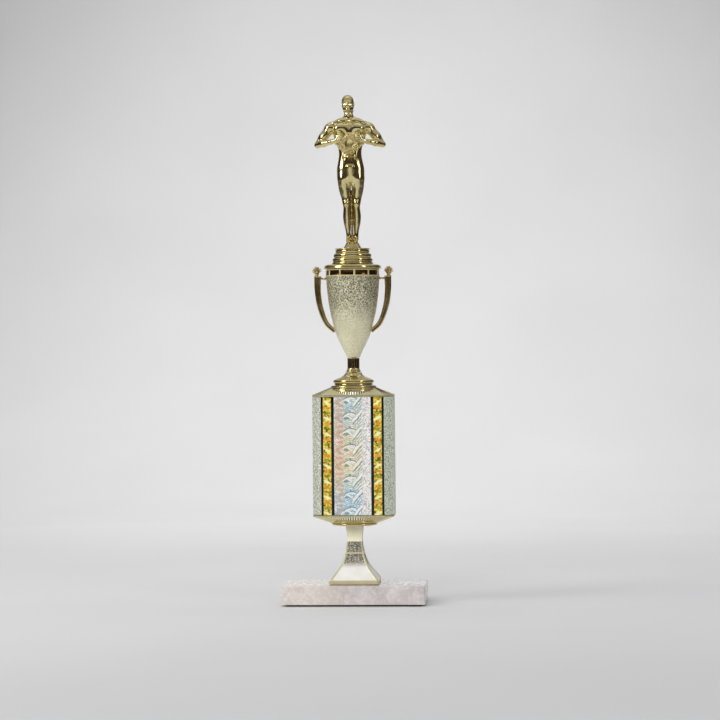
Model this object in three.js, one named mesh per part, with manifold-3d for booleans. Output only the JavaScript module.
// A cup-and-column trophy: a marble slab, a flared riser, a foil column between two caps, a handled
// cup with a lid, and a standing figure holding a wreath. One tie rod runs up the middle and clamps
// the tiers together. Millimetres, +Z up, front towards -Y, origin under the middle of the slab.
import * as THREE from "three";
import { ConvexGeometry } from "three/addons/geometries/ConvexGeometry.js";
import { mergeVertices } from "three/addons/utils/BufferGeometryUtils.js";
import Module from "manifold-3d";

const wasm = await Module();
wasm.setup();

// ---------------------------------------------------------------- driving dimensions
const GAP = 0.3; // between two pieces that rest on each other
const ROUND = 24; // sides of a turned piece
const SMALL_ROUND = 16; // sides of a small turned piece
const CORNER_SHRINK = 2 - Math.SQRT2; // how much a cut corner narrows for each mm that its outline is inset

const ROD = { radius: 3, hole: 3.7, recess: 0.3, standOut: 0.4 };
const NUT = { acrossFlats: 11.1, height: 4.4 };
const WASHER = { radius: 8, height: 1.2 };
const PAD = { radius: 5.5, height: 1.2, inset: 9 };
const MARBLE = { width: 122, depth: 62, height: 16, bevel: 0.6, pocketRadius: 11, pocketDepth: 7 };
const RISER = { foot: 41.6, neck: 12.4, height: 49.1, lip: 3, wall: 1.8 };
const COLUMN = { width: 69, depth: 44.5, chamfer: 7.6, height: 100, foil: 0.3, foilGap: 0.2, wall: 2 };
const CAP = {
  rim: 1.5, slope: 0.41, height: 9.3, ringRadius: 20.6, ring: 4, drumRadius: 21.8, wall: 1.8, plug: 6,
};
const FOOT = { radius: 17.8, height: 10.7, cavityRadius: 9.5, cavityHeight: 7.4 };
const STEM = { radius: 5.1, collarRadius: 6.6, height: 12.2 };
const BOWL = { rimRadius: 23.4, height: 75.6, band: 6.4, wall: 1.9 };
const HANDLE = { reach: 33.4, top: 69.7, width: 5, tailWidth: 3, depth: 4.6, arm: 1.8, pegRadius: 0.8 };
const FINIAL = { radius: 3.2, height: 9 };
const LID = { radius: 25.1, height: 3.8, rim: 2.4, spigot: 2.5 };
const PLINTH = { radius: 17.8, topRadius: 14.6, height: 13.2, shelf: 2.8, socketRadius: 6.8 };
const FIGURE = { height: 126.6, mound: 4.8, pegRadius: 6.4, pegLength: 4.6 };

// ---------------------------------------------------------------- materials
function material(color, roughness, metalness) {
  return new THREE.MeshStandardMaterial({ color, roughness, metalness });
}
const GOLD = material(0xc9a94c, 0.18, 1);
const SATIN_GOLD = material(0xc8bb83, 0.45, 1);
const STONE = material(0xddd3cd, 0.35, 0);
const FELT = material(0x2d3a2e, 0.95, 0);
const STEEL = material(0x9a9c9e, 0.35, 1);
const STYRENE = material(0xe9e6df, 0.5, 0);
const FOIL = material(0xc9cfd0, 0.25, 0.9);

// ---------------------------------------------------------------- solids
/** A closed geometry as a manifold-3d solid. */
function solidOf(geometry) {
  const bare = geometry.clone();
  bare.deleteAttribute("normal");
  bare.deleteAttribute("uv");
  const merged = mergeVertices(bare, 1e-4);
  const vertProperties = merged.getAttribute("position").array;
  const triVerts = new Uint32Array(merged.index.array);
  return new wasm.Manifold(new wasm.Mesh({ numProp: 3, vertProperties, triVerts }));
}

/** A manifold-3d solid as a geometry. */
function geometryOf(solid) {
  const { vertProperties, triVerts } = solid.getMesh();
  const geometry = new THREE.BufferGeometry();
  geometry.setAttribute("position", new THREE.BufferAttribute(vertProperties, 3));
  geometry.setIndex(new THREE.BufferAttribute(triVerts, 1));
  return geometry;
}

function join(...geometries) {
  return geometryOf(geometries.map(solidOf).reduce((whole, piece) => whole.add(piece)));
}

function cut(geometry, ...tools) {
  return geometryOf(tools.map(solidOf).reduce((whole, tool) => whole.subtract(tool), solidOf(geometry)));
}

/** A profile of [radius, z] points turned about Z. It runs anticlockwise: up the outside. */
function turned(profile, sides = ROUND) {
  const points = profile.map(([radius, z]) => new THREE.Vector2(radius, z));
  return new THREE.LatheGeometry(points, sides).rotateX(Math.PI / 2);
}

/** A disc or cylinder from z up to z + height. */
function cylinder(radius, z, height, sides = SMALL_ROUND) {
  return turned([[0, z], [radius, z], [radius, z + height], [0, z + height]], sides);
}

/** A rod hole from z up to z + height, to be cut out. */
function rodHole(z, height) {
  return cylinder(ROD.hole, z, height);
}

/** [radius, z] points of a half-round bead between two heights, bulging out from radius. */
function bead(radius, low, high, bulge, steps = 3) {
  const points = [];
  for (let i = 0; i <= steps; i++) {
    const turn = (i / steps) * Math.PI;
    points.push([radius + bulge * Math.sin(turn), (low + high) / 2 - ((high - low) / 2) * Math.cos(turn)]);
  }
  return points;
}

/** [radius, z] points along a smooth curve through a few points. */
function smooth(points, steps) {
  const curve = new THREE.SplineCurve(points.map(([radius, z]) => new THREE.Vector2(radius, z)));
  return curve.getSpacedPoints(steps).map((p) => [p.x, p.y]);
}

/** The eight corners of a rectangle with cut corners, anticlockwise from the front right. */
function cutRectangle(width, depth, chamfer) {
  const x = width / 2;
  const y = depth / 2;
  return [
    [x - chamfer, -y], [x, chamfer - y], [x, y - chamfer], [x - chamfer, y],
    [chamfer - x, y], [-x, y - chamfer], [-x, chamfer - y], [chamfer - x, -y],
  ];
}

/** A prism of a closed outline, from z up to z + height, with an optional hole outline. */
function prism(outline, z, height, hole) {
  const shape = new THREE.Shape(outline.map(([x, y]) => new THREE.Vector2(x, y)));
  if (hole) shape.holes.push(new THREE.Path(hole.map(([x, y]) => new THREE.Vector2(x, y))));
  return new THREE.ExtrudeGeometry(shape, { depth: height, bevelEnabled: false }).translate(0, 0, z);
}

/** A tapered limb with round ends between two points. */
function limb(from, to, startRadius, endRadius, sides = 9) {
  const start = new THREE.Vector3(...from);
  const along = new THREE.Vector3(...to).sub(start);
  const length = along.length();
  const steps = 2;
  const profile = [];
  for (let i = 0; i <= steps; i++) {
    const turn = ((i / steps) * Math.PI) / 2;
    profile.push([startRadius * Math.sin(turn), -startRadius * Math.cos(turn)]);
  }
  for (let i = steps; i >= 0; i--) {
    const turn = ((i / steps) * Math.PI) / 2;
    profile.push([endRadius * Math.sin(turn), length + endRadius * Math.cos(turn)]);
  }
  const direction = new THREE.Quaternion().setFromUnitVectors(new THREE.Vector3(0, 0, 1), along.normalize());
  return turned(profile, sides).applyQuaternion(direction).translate(...from);
}

/** An ellipsoid by its centre and half sizes. */
function ellipsoid(centre, halfSizes, sides = 12) {
  return new THREE.SphereGeometry(1, sides, Math.ceil(sides * 0.6))
    .rotateX(Math.PI / 2)
    .scale(...halfSizes)
    .translate(...centre);
}

// ---------------------------------------------------------------- base
function feltPad() {
  return cylinder(PAD.radius, 0, PAD.height);
}

function marbleSlab() {
  const { width, depth, height, bevel } = MARBLE;
  const x = width / 2 - bevel;
  const y = depth / 2 - bevel;
  const shape = new THREE.Shape([[-x, -y], [x, -y], [x, y], [-x, y]].map((p) => new THREE.Vector2(...p)));
  const slab = new THREE.ExtrudeGeometry(shape, {
    depth: height - 2 * bevel,
    bevelSize: bevel,
    bevelThickness: bevel,
    bevelSegments: 1,
  }).translate(0, 0, bevel);
  const pocket = cylinder(MARBLE.pocketRadius, -1, MARBLE.pocketDepth + 1, ROUND);
  return cut(slab, pocket, rodHole(-1, height + 2));
}

function washer() {
  const { radius, height } = WASHER;
  const profile = [[ROD.hole, 0], [radius, 0], [radius, height], [ROD.hole, height], [ROD.hole, 0]];
  return turned(profile, SMALL_ROUND);
}

function nut() {
  const cornerRadius = NUT.acrossFlats / 2 / Math.cos(Math.PI / 6);
  return cut(cylinder(cornerRadius, 0, NUT.height, 6), rodHole(-1, NUT.height + 2));
}

// ---------------------------------------------------------------- riser
/** Half the riser's width at heights up its side: a lip, a hollow flare and a straight neck. */
function riserProfile(inset) {
  const foot = RISER.foot / 2 - inset;
  const neck = RISER.neck / 2 - inset;
  const sweep = [
    [foot, RISER.lip], [neck + 10.4, 8.4], [neck + 4.8, 16.8], [neck + 1.8, 25.6], [neck + 0.3, 34], [neck, 38],
  ];
  return [[foot, 0], ...smooth(sweep, 9), [neck + 0.9, RISER.height - 3], [neck + 1, RISER.height]];
}

/** A four-sided turned solid whose flats lie at the profile's half widths. */
function fourSided(profile) {
  const corner = Math.SQRT2;
  const side = profile.map(([half, z]) => [half * corner, z]);
  return turned([[0, side[0][1]], ...side, [0, side.at(-1)[1]]], 4).rotateZ(Math.PI / 4);
}

function riser() {
  const hollow = riserProfile(RISER.wall).map(([half, z]) => [half, z - RISER.wall]);
  return cut(fourSided(riserProfile(0)), fourSided(hollow), rodHole(0, RISER.height + 1));
}

// ---------------------------------------------------------------- column
/** A hipped pyramid over the column's outline, cut flat at a height. */
function hippedSolid(inset, flatAt) {
  const width = COLUMN.width - 2 * inset;
  const depth = COLUMN.depth - 2 * inset;
  const rim = cutRectangle(width, depth, COLUMN.chamfer);
  const ridge = (width - depth) / 2;
  const top = CAP.rim + (depth / 2) * CAP.slope;
  const points = [
    ...rim.map(([x, y]) => new THREE.Vector3(x, y, 0)),
    ...rim.map(([x, y]) => new THREE.Vector3(x, y, CAP.rim)),
    new THREE.Vector3(ridge, 0, top),
    new THREE.Vector3(-ridge, 0, top),
  ];
  const above = new THREE.BoxGeometry(width + 2, depth + 2, top).translate(0, 0, flatAt + top / 2);
  return cut(new ConvexGeometry(points), above);
}

/** The column's cut-cornered section, inset by a distance. */
function columnSection(inset) {
  const { width, depth, chamfer } = COLUMN;
  return cutRectangle(width - 2 * inset, depth - 2 * inset, chamfer - CORNER_SHRINK * inset);
}

/** A straight tube with the column's section, its outside inset by a distance. */
function columnTube(inset, wall, z, height) {
  return prism(columnSection(inset), z, height, columnSection(inset + wall));
}

/** A column cap, rim down: hipped sides, a drum and ring in the middle, and a plug that enters the core. */
function columnCap() {
  const { rim, height, ringRadius, ring, drumRadius, wall, plug } = CAP;
  const flat = height - ring / 2;
  const drum = turned([
    [0, 0.1],
    [drumRadius, 0.1],
    [drumRadius, rim],
    ...bead(ringRadius - 0.6, height - ring, height - ring / 2, 0.6),
    ...bead(ringRadius - 1.4, height - ring / 2, height, 0.6),
    [0, height],
  ]);
  const hollow = hippedSolid(2 * wall, flat - wall).translate(0, 0, -0.01);
  const plugInset = COLUMN.foil + COLUMN.foilGap + COLUMN.wall + GAP;
  const shell = cut(join(hippedSolid(0, flat), drum), hollow);
  return cut(join(shell, columnTube(plugInset, wall, -plug, plug + 0.5)), rodHole(-1, height + 2));
}

// ---------------------------------------------------------------- cup
function cupFoot() {
  const { radius, height, cavityRadius, cavityHeight } = FOOT;
  return turned([
    [cavityRadius, 0],
    [radius - 0.6, 0],
    [radius - 0.6, 1],
    ...bead(radius - 1, 1.2, 4.8, 1),
    [radius - 4.4, 5.3],
    [radius - 5.4, 6.2],
    [STEM.collarRadius + 2.6, 7.8],
    [STEM.collarRadius + 0.6, 9.4],
    [STEM.collarRadius - 0.4, height],
    [ROD.hole, height],
    [ROD.hole, cavityHeight],
    [cavityRadius, cavityHeight - 2],
    [cavityRadius, 0],
  ]);
}

function cupStem() {
  const { radius, collarRadius, height } = STEM;
  return turned([
    [ROD.hole, 0],
    ...bead(collarRadius - 0.8, 0, 2.4, 0.8),
    [radius, 2.8],
    [radius, height],
    [ROD.hole, height],
    [ROD.hole, 0],
  ]);
}

/** The bowl's outer [radius, z] points, from its stem up to the band under the rim. */
function bowlSide() {
  const bandBottom = BOWL.height - BOWL.band;
  const side = [[5.3, 0], [9.9, 9.9], [14.6, 20.1], [18.2, 33], [21, 48], [22.3, 60.5], [22.8, bandBottom]];
  return smooth(side, 10);
}

function bowl() {
  const { rimRadius, height, band, wall } = BOWL;
  const side = bowlSide();
  const inside = side
    .filter(([radius]) => radius - wall > ROD.hole)
    .map(([radius, z]) => [radius - wall, z + 1]);
  const holeRadius = HANDLE.pegRadius + GAP;
  const pegHole = new THREE.CylinderGeometry(holeRadius, holeRadius, 2 * rimRadius + 4, 12)
    .rotateZ(Math.PI / 2)
    .translate(0, 0, HANDLE.top - HANDLE.arm / 2);
  const shell = turned([
    [ROD.hole, 0],
    ...side,
    [rimRadius, height - band + 0.5],
    [rimRadius, height - band + 1.2],
    [rimRadius - 0.5, height - band + 1.4],
    [rimRadius - 0.5, height - 1.2],
    [rimRadius, height - 1],
    [rimRadius, height],
    [rimRadius - 0.9 - wall, height],
    ...inside.reverse(),
    [ROD.hole, inside.at(-1)[1] - 1.5],
    [ROD.hole, 0],
  ]);
  return cut(shell, pegHole);
}

/** The right-hand handle: a strap that tapers down to its tail, an arm with a peg, and a bud on top. */
function handle() {
  const { reach, top, width, tailWidth, depth, arm, pegRadius } = HANDLE;
  const outer = [
    [reach, top], [reach - 0.3, top - 12], [reach - 2.8, top - 26.4], [reach - 8.5, top - 40.7], [16.8, 21.2],
  ];
  const inner = outer.map(([x, z], i) => [x - width + (i / 4) * (width - tailWidth), z + i * 0.5]);
  const outline = [...smooth(outer, 9), ...smooth(inner, 9).reverse()];
  const strap = prism(outline, -depth / 2, depth).rotateX(Math.PI / 2);
  const armStart = BOWL.rimRadius - 0.2;
  const armLength = reach - width + 1 - armStart;
  const bar = new THREE.BoxGeometry(armLength, depth * 0.6, arm)
    .translate(armStart + armLength / 2, 0, top - arm / 2);
  const peg = new THREE.CylinderGeometry(pegRadius, pegRadius, 4, 12)
    .rotateZ(Math.PI / 2)
    .translate(armStart, 0, top - arm / 2);
  const bud = turned([
    [0, -1], [1.9, -1], [1.9, 0.6], [1.3, 1.4], [2, 2.6],
    [FINIAL.radius, 4.6], [FINIAL.radius * 0.86, 6.8], [1.4, 8.6], [0, FINIAL.height],
  ], 12).translate(reach - width / 2, 0, top);
  const side = bowlSide().map(([radius, z]) => [radius + GAP, z]);
  const bowlRoom = turned([[0, side[0][1]], ...side, [0, side.at(-1)[1]]]);
  return join(cut(join(strap, bar, bud), bowlRoom), peg);
}

function cupLid() {
  const { radius, height, rim, spigot } = LID;
  const spigotRadius = BOWL.rimRadius - 0.9 - BOWL.wall - GAP;
  return turned([
    [ROD.hole, -spigot],
    [spigotRadius - 1.6, -spigot],
    [spigotRadius, -spigot + 0.4],
    [spigotRadius, 0],
    ...bead(radius - 0.7, 0, rim, 0.7),
    [radius - 4, rim + 0.8],
    [PLINTH.radius + 0.8, height - 0.4],
    [PLINTH.radius - 1.2, height],
    [ROD.hole, height],
    [ROD.hole, -spigot],
  ]);
}

// ---------------------------------------------------------------- figure
/** The stepped plinth: a shelf the nut bears on, and a socket above it for the figure's peg. */
function plinth() {
  const { radius, topRadius, height, shelf, socketRadius } = PLINTH;
  return turned([
    [ROD.hole, 0],
    [radius, 0],
    ...bead(radius - 1, 0.8, 3.6, 0.8),
    ...bead(radius - 1.9, 3.8, 6.8, 0.8),
    ...bead(radius - 2.8, 7, 10, 0.8),
    [topRadius - 0.5, 10.6],
    [topRadius, 11.4],
    [topRadius, height - 0.4],
    [topRadius - 0.5, height],
    [socketRadius, height],
    [socketRadius, shelf],
    [ROD.hole, shelf],
    [ROD.hole, 0],
  ]);
}

/** Both sides of a limb, mirrored across the figure's middle. */
function pair(from, to, startRadius, endRadius) {
  const mirrored = ([x, y, z]) => [-x, y, z];
  return [
    limb(from, to, startRadius, endRadius),
    limb(mirrored(from), mirrored(to), startRadius, endRadius),
  ];
}

/** The standing figure on its mound, soles at z = 0. */
function figure() {
  const { height, mound, pegRadius, pegLength } = FIGURE;
  const hip = [5.6, 0.4, 60];
  const knee = [3.5, 0, 32];
  const calf = [3.8, 0.8, 22];
  const ankle = [2.5, 0.9, 5];
  const shoulder = [15.6, 0.6, 98.4];
  const elbow = [27.4, 0.2, 85.2];
  const wrist = [13.4, -8.6, 86.6];
  const knuckles = [9.4, -10.8, 88.4];
  const side = smooth([[9, 54], [11.4, 61], [10.5, 70], [9.9, 77], [12.2, 88], [13.4, 97], [9, 104]], 8);
  const torso = turned([[0, 53], ...side, [0, 107]], 14).scale(1, 0.6, 1);
  const hill = turned([[0, -mound], [7.8, -mound], [6.4, 1 - mound / 2], [5, 0.3], [0, 0.4]], SMALL_ROUND);
  return join(
    torso,
    ellipsoid([0, 0, height - 7.9], [5.7, 6.6, 7.9]),
    limb([0, 0, 114], [0, 0.4, 104], 3.6, 4),
    ...pair([4, 1, 103.6], shoulder, 3.4, 4.5),
    ...pair(shoulder, elbow, 4.4, 2.9),
    ...pair(elbow, wrist, 2.9, 2),
    ...pair(wrist, knuckles, 2.2, 2.4),
    ...pair(hip, knee, 6.2, 3.7),
    ...pair(knee, calf, 3.7, 3.8),
    ...pair(calf, ankle, 3.7, 2.2),
    ...pair([2.7, 1.6, 1.6], [3.1, -5.4, 1.2], 2, 1.6),
    new THREE.TorusGeometry(8.2, 2.1, 6, 16).rotateX(Math.PI / 2).translate(0, -11.6, 84),
    hill,
    cylinder(pegRadius, -mound - pegLength, pegLength + 1),
  );
}

// ---------------------------------------------------------------- assembly
const trophy = new THREE.Group();

/** A tier of the stack: a group whose own z = 0 is its underside. */
function tier(z) {
  const group = new THREE.Group();
  group.position.z = z;
  trophy.add(group);
  return group;
}

function place(group, name, geometry, finish, z = 0) {
  const mesh = new THREE.Mesh(geometry, finish);
  mesh.name = name;
  mesh.position.z = z;
  group.add(mesh);
  return mesh;
}

const marbleBottom = PAD.height + GAP;
const riserBottom = marbleBottom + MARBLE.height + GAP;
const columnBottom = riserBottom + RISER.height + GAP;
const columnHeight = 2 * (CAP.height + GAP) + COLUMN.height;
const cupBottom = columnBottom + columnHeight + GAP;
const stemBottom = FOOT.height + GAP;
const bowlBottom = stemBottom + STEM.height + GAP;
const lidBottom = bowlBottom + BOWL.height + GAP;
const figureBottom = cupBottom + lidBottom + LID.height + GAP;
const nutSeat = PLINTH.shelf + GAP;

const base = tier(0);
for (const [side, x] of [["left", -1], ["right", 1]]) {
  for (const [end, y] of [["front", -1], ["back", 1]]) {
    const pad = place(base, `felt_pad_${end}_${side}`, feltPad(), FELT);
    pad.position.x = x * (MARBLE.width / 2 - PAD.inset);
    pad.position.y = y * (MARBLE.depth / 2 - PAD.inset);
  }
}
place(base, "marble_base", marbleSlab(), STONE, marbleBottom);
const pocketTop = marbleBottom + MARBLE.pocketDepth;
place(base, "base_washer", washer(), STEEL, pocketTop - GAP - WASHER.height);
place(base, "base_nut", nut(), STEEL, pocketTop - 2 * GAP - WASHER.height - NUT.height);
const rodBottom = marbleBottom + ROD.recess;
const rodTop = figureBottom + nutSeat + NUT.height + ROD.standOut;
place(base, "tie_rod", cylinder(ROD.radius, 0, rodTop - rodBottom, 16), STEEL, rodBottom);
place(base, "column_washer", washer(), STEEL, cupBottom);
place(base, "column_nut", nut(), STEEL, cupBottom + WASHER.height + GAP);

place(tier(riserBottom), "flared_riser", riser(), GOLD);

const column = tier(columnBottom);
const tubeBottom = CAP.height + GAP;
const coreInset = COLUMN.foil + COLUMN.foilGap;
place(column, "lower_column_cap", columnCap().rotateX(Math.PI), GOLD, CAP.height);
place(column, "column_core", columnTube(coreInset, COLUMN.wall, 0, COLUMN.height), STYRENE, tubeBottom);
place(column, "column_foil", columnTube(0, COLUMN.foil, 0, COLUMN.height), FOIL, tubeBottom);
place(column, "upper_column_cap", columnCap(), GOLD, tubeBottom + COLUMN.height + GAP);

const cup = tier(cupBottom);
place(cup, "cup_foot", cupFoot(), GOLD);
place(cup, "cup_stem", cupStem(), GOLD, stemBottom);
place(cup, "cup_bowl", bowl(), SATIN_GOLD, bowlBottom);
place(cup, "handle_right", handle(), GOLD, bowlBottom);
place(cup, "handle_left", handle().rotateZ(Math.PI), GOLD, bowlBottom);
place(cup, "cup_lid", cupLid(), GOLD, lidBottom);

const top = tier(figureBottom);
place(top, "figure_plinth", plinth(), GOLD);
place(top, "figure_nut", nut(), STEEL, nutSeat);
place(top, "victory_figure", figure(), GOLD, PLINTH.height + GAP + FIGURE.mound);

export default trophy;
